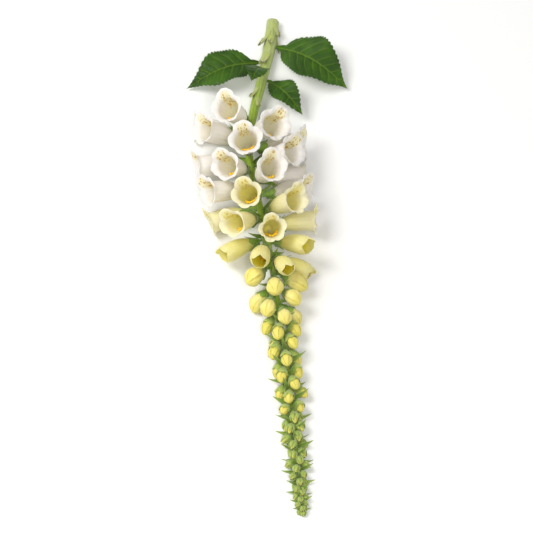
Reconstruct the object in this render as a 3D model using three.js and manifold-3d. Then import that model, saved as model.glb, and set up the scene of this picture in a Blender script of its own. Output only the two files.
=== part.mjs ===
// A cut foxglove spike lying on a surface, in millimetres with +Z up. The cut end points along +Y and the
// tip along -Y. The origin is on the flat spot under the cut end, where the stem rests.
import * as THREE from 'three';
import Module from 'manifold-3d';

const wasm = await Module();
wasm.setup();

// Driving dimensions

// The middle of the stem from the cut end to the tip: it sags on to the surface at both ends.
const stemRoute = [
  [1.2, 12, 6],
  [-2.5, -22, 6],
  [-11, -68, 10],
  [-20, -113, 14],
  [-26, -158, 18],
  [-18, -213, 20],
  [-5, -278, 19.5],
  [5, -348, 16],
  [15, -423, 11],
  [23, -503, 6.5],
  [30, -588, 3.2],
];
// [distance from the cut end, stem radius]
const stemRadii = [[0, 6.8], [36, 6.6], [100, 5.2], [170, 4], [300, 3.3], [450, 2.4], [620, 0.9]];
const stemSides = 8;
const stemStep = 18;
const stemSamples = 600;

// Florets stand on a spiral round the stem, from the oldest bell to the youngest bud.
const bellCount = 19;
const openingCount = 5;
const yellowBudCount = 8;
const tippedBudCount = 19;
const greenBudCount = 38;
const firstFloretAt = 148;
const firstTurn = 36;
const goldenAngle = 137.5077;

// What a floret measures at its place in the spike, counted from the lowest. Values change evenly between
// two rows. pitch: step along the stem to the next floret. lean: angle from the stem's own direction, in
// degrees. stalk: how far the floret's foot stands off the stem. flare: how far the lip opens, or folds in
// if it is negative. spread: share of a full turn that the spiral takes up, as the spike lies on its side.
const growthKeys = [
  'place', 'pitch', 'length', 'radius', 'lean', 'stalk', 'sepal', 'bract', 'flare', 'spread',
];
const growth = [
  [0, 7.6, 46, 14, 96, 6, 15, 16, 0.24, 0.62],
  [13, 7.6, 44, 13.2, 88, 6, 14.5, 16, 0.24, 0.62],
  [18, 7.5, 42, 12.6, 80, 6, 14, 16, 0.2, 0.62],
  [19, 7.3, 39, 12.2, 74, 5.5, 14, 16, -0.25, 0.64],
  [23, 7.1, 34, 10.6, 62, 5, 13, 16, -0.5, 0.68],
  [24, 7.1, 31, 9.4, 56, 5, 12.5, 16, 0, 0.7],
  [31, 6.6, 24, 6.8, 37, 4.2, 12, 12.5, 0, 0.8],
  [42, 5.8, 21, 6, 28, 3, 12, 20, 0, 0.95],
  [50, 4.7, 16, 5, 30, 2.2, 11.5, 18, 0, 1],
  [60, 3.6, 12.5, 4.2, 34, 1.6, 9.5, 15, 0, 1],
  [74, 2.7, 9, 3.2, 34, 1, 8, 12, 0, 1],
  [88, 1.8, 5.5, 2.3, 22, 0.3, 5, 7, 0, 1],
];
// A floret on top of the stem leans out less than one at its side, by up to this share.
const hug = 0.25;
const sizeChange = 0.04;
const leanChange = 6;
const turnChange = 5;
const twistChange = 8;

// A bell's lip, in shares of its length: the lower side is longer, and its lobes are
// [angle from the upper side, half width, height], alike on the left and the right.
const lowerSideLonger = 0.1;
const lobes = [[32, 42, 0.05], [102, 46, 0.08], [180, 54, 0.15]];
const bellAngles = [0, 32, 66, 102, 138, 158, 180, 202, 222, 258, 294, 328];
const footShare = 0.23;
const fullness = 0.6;
const belly = 1.4;
const petalWall = 0.9;
const corollaStart = 1.6;
const corollaGap = 0.35;

// A stamen's stops: [share of the bell's length, share of its girth, strand radius]. Turn is in radians.
const stamenStart = 0.06;
const stamenStops = [[0.3, 0.5, 0.7], [0.62, 0.62, 0.6], [0.72, 0.6, 1.8]];
const stamenEnd = [0.82, 0.6];
const stamenTurn = 0.45;

const cupShare = 0.27;
const sepalWall = 0.8;
const fuseTolerance = 0.08;
const bractWidthShare = 0.32;
const bractBend = 0.35;
// The youngest buds' bracts are thinner than a solid blade can be, and are left out.
const bractCount = 61;

// Settling: florets push each other and the surface away, and a bell's side is pressed flat a little.
const settlePasses = 240;
const settleHold = 0.05;
const settleShares = [0.25, 0.5, 0.75, 1];
const settleGap = 0.8;
const pressDepth = 1.2;

// Leaves on the lower stem. at: distance from the cut end. turn: degrees round the stem from the top, to
// the left. lean: degrees from the stem's direction. rise: how high the blade arches. drop: how far its tip
// sinks below its foot.
const leaves = [
  { at: 34, turn: -88, lean: 64, length: 96, width: 56, rise: 16, drop: 5 },
  { at: 58, turn: 92, lean: 58, length: 88, width: 44, rise: 14, drop: 6 },
  { at: 82, turn: -84, lean: 50, length: 62, width: 30, rise: 10, drop: 3 },
  { at: 70, turn: 10, lean: 30, length: 52, width: 26, rise: 12, drop: -6 },
];
const leafWall = 0.7;
const leafGap = 0.4;
const leafRows = 13;
const leafFootShare = 0.03;

const bellWhite = '#f3efe8';
const bellCream = '#f0e9b8';
const budYellow = '#e3da6e';
const stemGreen = '#6f9c2c';
const leafGreen = '#3f7020';
const whiteBellCount = 13;

// Helpers

const radians = THREE.MathUtils.degToRad;

// A repeatable draw from -1 to 1 for a floret.
function chance(place, draw) {
  const value = Math.sin(12.9898 * (place + 1) + 78.233 * draw) * 43758.5453;
  return 2 * (value - Math.floor(value)) - 1;
}

function sum(start, ...steps) {
  const end = start.clone();
  for (const [direction, length] of steps) end.addScaledVector(direction, length);
  return end;
}

// The direction at an angle from the first one towards the second.
function heading(first, second, angle) {
  return sum(new THREE.Vector3(), [first, Math.cos(angle)], [second, Math.sin(angle)]);
}

function between(table, x) {
  const next = Math.max(1, table.findIndex(([end]) => end >= x));
  const [[low, lowValue], [high, highValue]] = [table[next - 1], table[next]];
  return THREE.MathUtils.mapLinear(x, low, high, lowValue, highValue);
}

function measure(place) {
  const columns = growthKeys.map((key, column) => [key, growth.map((row) => [row[0], row[column]])]);
  return Object.fromEntries(columns.map(([key, table]) => [key, between(table, place)]));
}

// A closed solid through a stack of rings, which are loops of equally many points, with a point to close
// each end. otherWay(band, column) picks the other diagonal, so that both faces of a blade are split alike.
function closedSolid(start, rings, end, otherWay = () => false) {
  const count = rings[0].length;
  const points = [start, ...rings.flat(), end];
  const index = [];
  for (let column = 0; column < count; column++) {
    const next = (column + 1) % count;
    index.push(0, 1 + next, 1 + column);
    for (let band = 0; band < rings.length - 1; band++) {
      const [a, b] = [1 + band * count + column, 1 + band * count + next];
      const [d, c] = [a + count, b + count];
      index.push(...(otherWay(band, column) ? [a, b, d, b, c, d] : [a, b, c, a, c, d]));
    }
    const top = 1 + (rings.length - 1) * count;
    index.push(points.length - 1, top + column, top + next);
  }
  const geometry = new THREE.BufferGeometry().setFromPoints(points);
  geometry.setIndex(index);
  return geometry;
}

function toSolid(geometry) {
  return new wasm.Manifold(new wasm.Mesh({
    numProp: 3,
    vertProperties: geometry.attributes.position.array,
    triVerts: Uint32Array.from(geometry.index.array),
  }));
}

function fuse(geometries) {
  const whole = wasm.Manifold.union(geometries.map(toSolid)).simplify(fuseTolerance);
  const { vertProperties, triVerts } = whole.getMesh();
  const geometry = new THREE.BufferGeometry();
  geometry.setAttribute('position', new THREE.BufferAttribute(vertProperties, 3));
  geometry.setIndex(new THREE.BufferAttribute(triVerts, 1));
  return geometry;
}

// A loop of points round a centre, counter-clockwise about its axis. radiusAt takes the column.
function loop(centre, axis, reference, count, radiusAt, shift = 0) {
  const first = reference.clone().addScaledVector(axis, -reference.dot(axis)).normalize();
  const second = new THREE.Vector3().crossVectors(axis, first);
  return Array.from({ length: count }, (_, column) => {
    const angle = ((column + shift) / count) * 2 * Math.PI;
    const radius = radiusAt(column);
    return sum(centre, [first, radius * Math.cos(angle)], [second, radius * Math.sin(angle)]);
  });
}

const onSurface = (point) => point.setZ(Math.max(point.z, 0));

// The stem

const stemPoints = stemRoute.map((point) => new THREE.Vector3(...point));
const stemCurve = new THREE.CatmullRomCurve3(stemPoints, false, 'catmullrom', 0.5);
const stations = stemCurve.getPoints(stemSamples);
const stationDistances = stemCurve.getLengths(stemSamples);
const stemLength = stationDistances.at(-1);

function stemMiddle(distance) {
  const next = Math.max(1, stationDistances.findIndex((end) => end >= Math.min(distance, stemLength)));
  const share = THREE.MathUtils.inverseLerp(stationDistances[next - 1], stationDistances[next], distance);
  return stations[next - 1].clone().lerp(stations[next], THREE.MathUtils.clamp(share, 0, 1));
}

function stemFrame(distance) {
  const ahead = stemMiddle(distance + 1).sub(stemMiddle(Math.max(0, distance - 1))).normalize();
  const up = new THREE.Vector3(0, 0, 1).addScaledVector(ahead, -ahead.z).normalize();
  const side = new THREE.Vector3().crossVectors(ahead, up);
  return { middle: stemMiddle(distance), ahead, up, side, radius: between(stemRadii, distance) };
}

function stemSolid() {
  const steps = Math.round(stemLength / stemStep);
  const rings = [];
  for (let step = 0; step <= steps; step++) {
    const { middle, ahead, up, radius } = stemFrame((stemLength * step) / steps);
    rings.push(loop(middle, ahead, up, stemSides, () => radius, 0.5).map(onSurface));
  }
  const cut = stemFrame(0);
  const tip = stemFrame(stemLength);
  return closedSolid(sum(cut.middle, [cut.ahead, 1]), rings, sum(tip.middle, [tip.ahead, 1.5]));
}

// Florets

function plantFlorets() {
  const florets = [];
  const count = bellCount + openingCount + yellowBudCount + tippedBudCount + greenBudCount;
  let distance = firstFloretAt;
  for (let place = 0; place < count; place++) {
    const size = measure(place);
    const stem = stemFrame(distance);
    const fullTurn = THREE.MathUtils.euclideanModulo(firstTurn + goldenAngle * place + 180, 360) - 180;
    const turn = radians(fullTurn * size.spread + turnChange * chance(place, 1));
    const upright = Math.max(0, Math.cos(turn));
    const lean = radians(size.lean * (1 - hug * upright) + leanChange * chance(place, 2));
    const outward = heading(stem.up, stem.side, turn);
    const scale = 1 + sizeChange * chance(place, 3);
    florets.push({
      ...size,
      stem,
      outward,
      distance,
      length: size.length * scale,
      radius: size.radius * scale,
      open: place < bellCount + openingCount,
      foot: sum(stem.middle, [outward, stem.radius + size.stalk], [stem.ahead, size.stalk / 2]),
      natural: heading(stem.ahead, outward, lean),
      twist: radians(twistChange * chance(place, 4)),
    });
    distance += size.pitch;
  }
  return florets;
}

// A floret's radius at a share of its length. An open one widens from its narrow foot as a squared sine. A
// bud is a blunt egg.
function girth(floret, share) {
  const inside = THREE.MathUtils.clamp(share, 0, 1);
  if (!floret.open) return floret.radius * Math.sin(Math.PI * inside ** 1.2) ** 0.6;
  const swell = Math.sin((Math.PI / 2) * inside ** fullness) ** 2;
  return floret.radius * (footShare + (1 - footShare) * swell);
}

// Florets turn about their feet until none touches another or sinks into the surface.
function settle(florets) {
  const balls = florets.flatMap((floret) => settleShares.map((share) => ({
    floret,
    reach: corollaStart + share * floret.length,
    radius: girth(floret, share) * (share === 1 ? 1 + floret.flare * 0.8 : 1),
    centre: new THREE.Vector3(),
  })));
  const apart = new THREE.Vector3();
  for (const floret of florets) {
    floret.axis = floret.natural.clone();
    floret.push = new THREE.Vector3();
  }
  for (let pass = 0; pass < settlePasses; pass++) {
    for (const ball of balls) {
      ball.centre.copy(ball.floret.foot).addScaledVector(ball.floret.axis, ball.reach);
    }
    for (const floret of florets) {
      floret.push.set(0, 0, 0);
      floret.touches = 0;
    }
    for (const one of balls) {
      const sunk = one.radius - pressDepth - one.centre.z;
      if (sunk > 0) {
        one.floret.push.z += sunk / one.reach;
        one.floret.touches++;
      }
      for (const other of balls) {
        if (other.floret === one.floret) continue;
        apart.subVectors(one.centre, other.centre);
        const crossed = one.radius + other.radius + settleGap - apart.length();
        if (crossed > 0) {
          one.floret.push.addScaledVector(apart.normalize(), crossed / 2 / one.reach);
          one.floret.touches++;
        }
      }
    }
    const hold = settleHold * (1 - pass / settlePasses);
    for (const floret of florets) {
      floret.axis.addScaledVector(floret.push, 1 / Math.max(1, floret.touches));
      floret.axis.lerp(floret.natural, hold).normalize();
    }
  }
}

// The upper side of every floret faces the tip of the spike.
function turnFlorets(florets) {
  for (const floret of florets) {
    const { axis, stem, twist } = floret;
    const ahead = stem.ahead.clone().addScaledVector(axis, -stem.ahead.dot(axis)).normalize();
    const beside = new THREE.Vector3().crossVectors(axis, ahead);
    floret.upper = heading(ahead, beside, twist);
    floret.left = new THREE.Vector3().crossVectors(axis, floret.upper);
  }
}

function alongFloret(floret, distance) {
  return sum(floret.foot, [floret.axis, distance]);
}

// The middle of a floret's petals at a share of its length. An open one bellies out on its lower side.
function petalMiddle(floret, share) {
  const sag = floret.open ? belly * Math.sin(Math.PI * THREE.MathUtils.clamp(share, 0, 1)) : 0;
  return sum(alongFloret(floret, corollaStart + share * floret.length), [floret.upper, -sag]);
}

// The lip at an angle from the upper side. reach is its distance in shares of the length: it is longer
// below, and each lobe adds a parabola. lobe goes from 0 in a notch to 1 in a lobe's middle.
function lip(angle) {
  const fromUpper = 180 - Math.abs(180 - angle);
  const lower = (1 - Math.cos(radians(fromUpper))) / 2;
  const rises = lobes.map(([middle, half]) => Math.max(0, 1 - ((fromUpper - middle) / half) ** 2));
  const height = Math.max(...lobes.map(([, , top], number) => top * rises[number]));
  return { reach: 1 + lowerSideLonger * lower ** 2 + height, lobe: Math.max(...rises) };
}

// The last quarter of a corolla flares out, or folds in, the most in the middle of each lobe.
function corollaRing(floret, share, inset) {
  const past = Math.max(0, (share - 0.75) / 0.25) ** 1.5;
  return bellAngles.map((angle) => {
    const { reach: rim, lobe } = lip(angle);
    const reach = share * rim;
    const radius = girth(floret, reach) * (1 + floret.flare * past * (0.5 + 0.5 * lobe)) - inset;
    const point = sum(
      petalMiddle(floret, reach),
      [floret.upper, radius * Math.cos(radians(angle))],
      [floret.left, radius * Math.sin(radians(angle))],
    );
    return point.setZ(Math.max(point.z, inset));
  });
}

function corollaSolid(floret) {
  const outerShares = [0, 0.3, 0.72, 1];
  const innerShares = outerShares.slice(1).reverse();
  const rings = [
    ...outerShares.map((share) => corollaRing(floret, share, 0)),
    ...innerShares.map((share) => corollaRing(floret, share, petalWall)),
  ];
  const bottom = corollaStart + 0.14 * floret.length;
  const inside = (band) => band >= outerShares.length;
  return closedSolid(alongFloret(floret, corollaStart), rings, alongFloret(floret, bottom), inside);
}

// A strand that stands for two stamens: it runs up under the upper side and ends in its anthers.
function stamenSolid(floret, angle) {
  const place = (reach, out) => sum(
    petalMiddle(floret, reach),
    [floret.upper, girth(floret, reach) * out * Math.cos(angle)],
    [floret.left, girth(floret, reach) * out * Math.sin(angle)],
  );
  const rings = stamenStops.map(([reach, out, radius]) => (
    loop(place(reach, out), floret.axis, floret.upper, 3, () => radius)
  ));
  const start = alongFloret(floret, corollaStart + stamenStart * floret.length);
  return closedSolid(start, rings, place(...stamenEnd));
}

function bellGeometry(floret) {
  return fuse([corollaSolid(floret), stamenSolid(floret, stamenTurn), stamenSolid(floret, -stamenTurn)]);
}

function yellowBudGeometry(floret) {
  const rings = [0.16, 0.42, 0.72, 0.92].map((share) => loop(
    petalMiddle(floret, share), floret.axis, floret.upper, 8, () => girth(floret, share),
  ).map(onSurface));
  const tip = alongFloret(floret, corollaStart + floret.length);
  return closedSolid(alongFloret(floret, corollaStart), rings, tip);
}

// A stalk from the middle of the stem that widens into a cup of five pointed sepals, clear of the petals
// inside it. Even columns are tips, odd ones are gaps.
function calyxSolid(floret) {
  const ring = (tipAt, gapAt, wall) => {
    const rows = [tipAt, gapAt].map((distance) => {
      const share = (distance - corollaStart) / floret.length;
      const clear = Math.max(girth(floret, share), cupShare * floret.radius) * 1.06 + corollaGap;
      return loop(petalMiddle(floret, share), floret.axis, floret.upper, 10, () => clear + wall);
    });
    return rows[0].map((point, column) => (column % 2 ? rows[1][column] : point));
  };
  const rings = [
    ring(2, 2, sepalWall),
    ring(floret.sepal, 4, sepalWall),
    ring(floret.sepal - 1, 3.6, 0),
    ring(1.2, 1.2, 0),
  ];
  return closedSolid(floret.stem.middle, rings, alongFloret(floret, 1.2), (band) => band >= 2);
}

// A small bud whose five sepals stand out of it in a zigzag, with the petals' tip above them.
function tippedBudSolid(floret) {
  const { length, radius, sepal } = floret;
  const tip = Math.min(0.85, sepal / length);
  const ring = (tipAt, gapAt, tipRadius, gapRadius) => loop(
    floret.foot, floret.axis, floret.upper, 10, (column) => (column % 2 ? gapRadius : tipRadius) * radius,
  ).map((point, column) => (
    onSurface(point.addScaledVector(floret.axis, (column % 2 ? gapAt : tipAt) * length))
  ));
  const rings = [
    ring(tip * 0.5, tip * 0.5, 1, 0.94),
    ring(tip, tip * 0.72, 1.02, 1.02),
    ring(tip - 0.05, tip * 0.72 + 0.03, 0.86, 0.9),
    ring(0.9, 0.9, 0.55, 0.55),
  ];
  return closedSolid(floret.stem.middle, rings, alongFloret(floret, length));
}

function greenBudSolid(floret) {
  const ring = (share, width) => loop(
    alongFloret(floret, share * floret.length), floret.axis, floret.upper, 6, () => width * floret.radius,
  ).map(onSurface);
  const tip = alongFloret(floret, floret.length);
  return closedSolid(floret.stem.middle, [ring(0.35, 1), ring(0.78, 0.7)], tip);
}

// A narrow keeled blade below each floret, which bends back towards the cut end.
function bractSolid(floret) {
  const { stem, outward, bract } = floret;
  const room = outward.z < 0 ? (stem.middle.z - 0.4) / -outward.z : bract;
  const reach = Math.min(bract, room - stem.radius);
  const across = new THREE.Vector3().crossVectors(outward, stem.ahead);
  const half = (bract * bractWidthShare) / 2;
  const row = (out, back, width, keel) => {
    const middle = sum(stem.middle, [outward, out], [stem.ahead, -back]);
    return [sum(middle, [across, width]), sum(middle, [stem.ahead, -keel]), sum(middle, [across, -width])];
  };
  const rings = [
    row(stem.radius * 0.7, 1.5, half * 0.6, 1),
    row(stem.radius + reach * 0.45, 1.5 + 0.25 * bractBend * bract, half, 1.1),
  ];
  const back = 1.5 + bract * bractBend;
  const tip = sum(stem.middle, [outward, stem.radius + reach], [stem.ahead, -back]);
  return closedSolid(sum(stem.middle, [stem.ahead, -1.5]), rings, tip);
}

// A toothed blade on a winged stalk. It arches as a half sine, folds up along its midrib and waves.
function leafGeometry({ at, turn, lean, length, width, rise, drop }) {
  const stem = stemFrame(at);
  const outward = heading(stem.up, stem.side, radians(turn));
  const flat = heading(stem.ahead, outward, radians(lean));
  const up = new THREE.Vector3(0, 0, 1);
  const across = new THREE.Vector3().crossVectors(flat, up).normalize();
  const footHalf = width * leafFootShare;
  const stemSide = stem.radius * Math.cos(Math.PI / stemSides);
  const foot = sum(stem.middle, [outward, stemSide + leafGap + (leafWall / 2) * Math.max(0, outward.z)]);
  const midrib = (share) => {
    const height = rise * Math.sin(Math.PI * share) - drop * share * share;
    return sum(foot, [flat, share * length], [up, height]);
  };
  const halfWidth = (share) => {
    const blade = Math.max(0, (share - 0.1) / 0.9);
    const stalk = Math.min(width * 0.09, footHalf * (1 + 25 * share));
    return Math.max(stalk, (width / 2) * Math.sin(Math.PI * blade ** 0.75) ** 0.9);
  };
  const rings = [];
  for (let row = 0; row < leafRows; row++) {
    const share = (row + 0.15) / (leafRows - 0.35);
    const tooth = row % 2 ? 1 : 0.9;
    const columns = [-1, -0.5, 0, 0.5, 1].map((column) => {
      const out = column * halfWidth(share) * (Math.abs(column) === 1 ? tooth : 1);
      const fold = Math.abs(out) * 0.22 + 1.4 * column * Math.sin(share * 11 + column);
      return sum(midrib(share), [across, out], [up, fold]);
    });
    const below = columns.map((point) => sum(point, [up, -leafWall])).reverse();
    rings.push([...columns, ...below]);
  }
  const start = sum(midrib(0), [up, -leafWall / 2]);
  const end = sum(midrib(1), [up, -leafWall / 2]);
  return closedSolid(start, rings, end, (band, column) => column >= 5);
}

// Assembly

function piece(name, geometry, color, roughness) {
  geometry.computeVertexNormals();
  const material = new THREE.MeshStandardMaterial({ color, roughness, metalness: 0, flatShading: true });
  const mesh = new THREE.Mesh(geometry, material);
  mesh.name = name;
  return mesh;
}

const numbered = (name, number) => `${name}_${String(number).padStart(2, '0')}`;

const florets = plantFlorets();
settle(florets);
turnFlorets(florets);

const openFrom = bellCount;
const yellowFrom = openFrom + openingCount;
const tippedFrom = yellowFrom + yellowBudCount;
const greenFrom = tippedFrom + tippedBudCount;
const stalked = florets.slice(0, tippedFrom);

const spike = new THREE.Group();
spike.add(piece('stem', fuse([
  stemSolid(),
  ...stalked.map(calyxSolid),
  ...florets.slice(0, bractCount).map(bractSolid),
  ...florets.slice(tippedFrom, greenFrom).map(tippedBudSolid),
  ...florets.slice(greenFrom).map(greenBudSolid),
]), stemGreen, 0.6));
florets.slice(0, openFrom).forEach((floret, index) => {
  const color = index < whiteBellCount ? bellWhite : bellCream;
  spike.add(piece(numbered('bell', index + 1), bellGeometry(floret), color, 0.55));
});
florets.slice(openFrom, yellowFrom).forEach((floret, index) => {
  spike.add(piece(numbered('opening_bell', index + 1), bellGeometry(floret), bellCream, 0.55));
});
florets.slice(yellowFrom, tippedFrom).forEach((floret, index) => {
  spike.add(piece(numbered('yellow_bud', index + 1), yellowBudGeometry(floret), budYellow, 0.5));
});
leaves.forEach((leaf, index) => {
  spike.add(piece(numbered('leaf', index + 1), leafGeometry(leaf), leafGreen, 0.65));
});

export default spike;
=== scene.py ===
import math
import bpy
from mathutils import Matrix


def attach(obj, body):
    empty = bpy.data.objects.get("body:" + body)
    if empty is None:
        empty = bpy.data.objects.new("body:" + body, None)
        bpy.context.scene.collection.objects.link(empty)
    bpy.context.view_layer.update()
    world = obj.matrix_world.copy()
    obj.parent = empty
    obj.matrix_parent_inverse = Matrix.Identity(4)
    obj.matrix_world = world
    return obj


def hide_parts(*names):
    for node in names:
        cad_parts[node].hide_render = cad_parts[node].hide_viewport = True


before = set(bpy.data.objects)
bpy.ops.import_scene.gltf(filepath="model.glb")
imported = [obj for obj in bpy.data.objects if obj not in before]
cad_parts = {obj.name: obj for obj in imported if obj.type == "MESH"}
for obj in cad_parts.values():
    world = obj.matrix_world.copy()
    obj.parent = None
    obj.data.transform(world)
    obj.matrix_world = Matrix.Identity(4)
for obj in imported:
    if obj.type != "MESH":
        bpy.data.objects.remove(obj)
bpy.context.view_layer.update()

# A cut foxglove spike that lies on a pale table, seen from above with its cut end far away and its tip near.
# Shapes are worked out in millimetres with +Z up, and go into their meshes in metres.
from types import SimpleNamespace

import bpy
import numpy as np
from mathutils import Vector

tau = 2 * math.pi


# The linear colour of an sRGB hex value.
def hexColour(code):
    srgb = np.array([int(code[i:i + 2], 16) for i in (1, 3, 5)]) / 255
    return (*np.where(srgb <= 0.04045, srgb / 12.92, ((srgb + 0.055) / 1.055) ** 2.4), 1.0)


def unit(vectors):
    return vectors / np.maximum(np.linalg.norm(vectors, axis=-1, keepdims=True), 1e-12)


# The direction at an angle from the first one towards the second.
def heading(first, second, angle):
    angle = np.asarray(angle)[..., None]
    return first * np.cos(angle) + second * np.sin(angle)


# A smooth step from 0 at low to 1 at high, which may be the smaller of the two.
def smooth(values, low, high):
    t = np.clip((values - low) / (high - low), 0, 1)
    return t * t * (3 - 2 * t)


# A repeatable draw from -1 to 1: the broken-off digits of a large sine.
def chance(place, draw):
    value = np.sin(12.9898 * (place + 1) + 78.233 * draw) * 43758.5453
    return 2 * (value - np.floor(value)) - 1


# The stem's line
stem = {
    "route": [(1.2, 12, 6), (-2.5, -22, 6), (-11, -68, 10), (-20, -113, 14), (-26, -158, 18), (-18, -213, 20),
              (-5, -278, 19.5), (5, -348, 16), (15, -423, 11), (23, -503, 6.5), (30, -588, 3.2)],
    "samples": 600,
    # Distance from the cut end, and the radius there
    "radii": [(0, 6.8), (36, 6.6), (100, 5.2), (170, 4), (300, 3.3), (450, 2.4), (620, 0.9)],
    # Distance from the cut end, and how deep its ridges are there in shares of the radius
    "ridgeDepths": [(0, 0.035), (20, 0.05), (120, 0.08), (620, 0.03)],
    # Distance from the cut end, and where that is in the skin's range from pale foot to green tip
    "tones": [(0, -0.1), (60, 0.05), (150, 0.5), (620, 0.75)],
    "ridges": 9, "rows": 330, "columns": 54,
    "endLength": 30, "endRows": 30,  # mm at the cut end that have finer rows, and how many
    "cutRings": (0.94, 0.84, 0.7, 0.5, 0.3, 0.12), "cutDepth": 1.6,
}


# A smooth curve through the route: each span is a cubic that leaves and arrives along half the chord of its
# neighbours. Gives the points and their distances from the cut end.
def traceStem():
    points = np.array(stem["route"], float)
    padded = np.vstack([2 * points[0] - points[1], points, 2 * points[-1] - points[-2]])
    at = np.linspace(0, len(points) - 1, stem["samples"] + 1)
    span = np.minimum(at.astype(int), len(points) - 2)
    t = (at - span)[:, None]
    before, a, b, after = (padded[span + k] for k in range(4))
    leave, arrive = (b - before) / 2, (after - a) / 2
    line = (a + leave * t + (3 * (b - a) - 2 * leave - arrive) * t ** 2
            + (2 * (a - b) + leave + arrive) * t ** 3)
    steps = np.linalg.norm(np.diff(line, axis=0), axis=1)
    return line, np.concatenate([[0], np.cumsum(steps)])


stemLine, stemDistances = traceStem()
stemLength = stemDistances[-1]


def stemMiddle(distance):
    return np.stack([np.interp(distance, stemDistances, stemLine[:, k]) for k in range(3)], -1)


# Middle, direction to the tip, up, side and radius of the stem at distances from its cut end.
def stemFrame(distance):
    distance = np.asarray(distance, float)
    ahead = unit(stemMiddle(distance + 1) - stemMiddle(np.maximum(0, distance - 1)))
    up = unit(np.array([0, 0, 1.0]) - ahead * ahead[..., 2:])
    return SimpleNamespace(middle=stemMiddle(distance), ahead=ahead, up=up, side=np.cross(ahead, up),
                           radius=np.interp(distance, *np.transpose(stem["radii"])))


# Florets

# What a floret measures at its place in the spike: the rows hold the place and then the keys in this order.
# pitch: mm of stem to the next floret. lean: degrees from the stem. flare: how far the lip opens, and less
# than 0 where it is still shut. spread: the share of its turn round the stem that it keeps, because the
# florets below are pressed aside. The rest are in mm.
growthKeys = ("pitch", "length", "radius", "lean", "stalk", "sepal", "bract", "flare", "spread")
growth = np.array([
    (0, 7.6, 46, 14, 96, 6, 15, 16, 0.24, 0.62),
    (13, 7.6, 44, 13.2, 88, 6, 14.5, 16, 0.24, 0.62),
    (18, 7.5, 42, 12.6, 80, 6, 14, 16, 0.2, 0.62),
    (19, 7.3, 39, 12.2, 74, 5.5, 14, 16, -0.25, 0.64),
    (23, 7.1, 34, 10.6, 62, 5, 13, 16, -0.5, 0.68),
    (24, 7.1, 31, 9.4, 56, 5, 12.5, 16, 0, 0.7),
    (31, 6.6, 24, 6.8, 37, 4.2, 12, 12.5, 0, 0.8),
    (42, 5.8, 21, 6, 28, 3, 12, 20, 0, 0.95),
    (50, 4.7, 16, 5, 30, 2.2, 11.5, 18, 0, 1),
    (60, 3.6, 12.5, 4.2, 34, 1.6, 9.5, 15, 0, 1),
    (74, 2.7, 9, 3.2, 34, 1, 8, 12, 0, 1),
    (88, 1.8, 5.5, 2.3, 22, 0.3, 5, 7, 0, 1),
])
spike = {
    "bells": 19, "openings": 5, "yellowBuds": 8, "tippedBuds": 19, "greenBuds": 38, "whiteBells": 13,
    "firstAt": 148, "firstTurn": 36, "goldenAngle": 137.5077,
    "sizeChange": 0.04, "leanChange": 6, "turnChange": 5, "twistChange": 8,  # a share, and then degrees
    "hug": 0.25,  # share of its lean that a floret on top of the stem loses
    "settlePasses": 240, "settleHold": 0.05,
    "settleShares": (0.25, 0.5, 0.75, 1),  # where a floret's balls are, in shares of its length
    "settleGap": 0.8, "pressDepth": 1.2,  # mm between florets, and that one may be pressed flat on the table
    "flareGain": 0.8,  # how much a full flare widens the ball at the mouth
}
bell = {
    "start": 1.6, "belly": 1.4,  # mm from the floret's foot to its petals, and that an open one sags
    "footShare": 0.23, "fullness": 0.6,  # share of the radius at the foot, and the power by which it widens
    "lowerSideLonger": 0.1,  # how much the lower side is longer than the upper, in shares of the length
    # Degrees from the upper side to a lobe's middle, half its width, and its height in shares of the length
    "lobes": ((32, 40, 0.06), (102, 44, 0.095), (180, 52, 0.165)),
    "mouth": 0.86,  # the tube's girth where the lip starts, in shares of the floret's radius
    "lipShares": (0.09, 0.055, 0.1),  # a notch's share of the length: above, more below, more while closed
    "lipTurns": ((-0.5, -48), (-0.25, -28), (0.2, 78), (0.24, 94)),  # flare, and degrees that the lip bends
    "notchTurn": 0.55,  # share of that bend that a notch has
    "wall": 0.6, "rimWall": 0.35, "rimRound": 0.12,
    "ragged": 0.014, "raggedWaves": (9, 14, 21),  # share of the length that the rim goes up and down
    "ruffle": 1.5, "ruffleWaves": (5, 8, 13),  # mm that the lip goes in and out
    "furrow": 0.06, "oval": 0.06, "flutes": 0.012, "fluteCount": 17,  # shares of the radius
    "columns": 120, "tubeRows": 26, "lipRows": 14,
    "spotHalf": (7.5, 4.0),  # mm from the middle of the lower side where spots end, and where they are full
}


# Radius of a floret at a share of its length. An open one widens from its narrow foot as a squared sine, and
# a bud is a blunt egg, a powered sine.
def girthOf(radius, opened, share):
    inside = np.clip(share, 0, 1)
    foot = bell["footShare"]
    tube = radius * (foot + (1 - foot) * np.sin(math.pi / 2 * inside ** bell["fullness"]) ** 2)
    egg = radius * np.abs(np.sin(math.pi * inside ** 1.2)) ** 0.6
    return np.where(opened, tube, egg)


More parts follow.
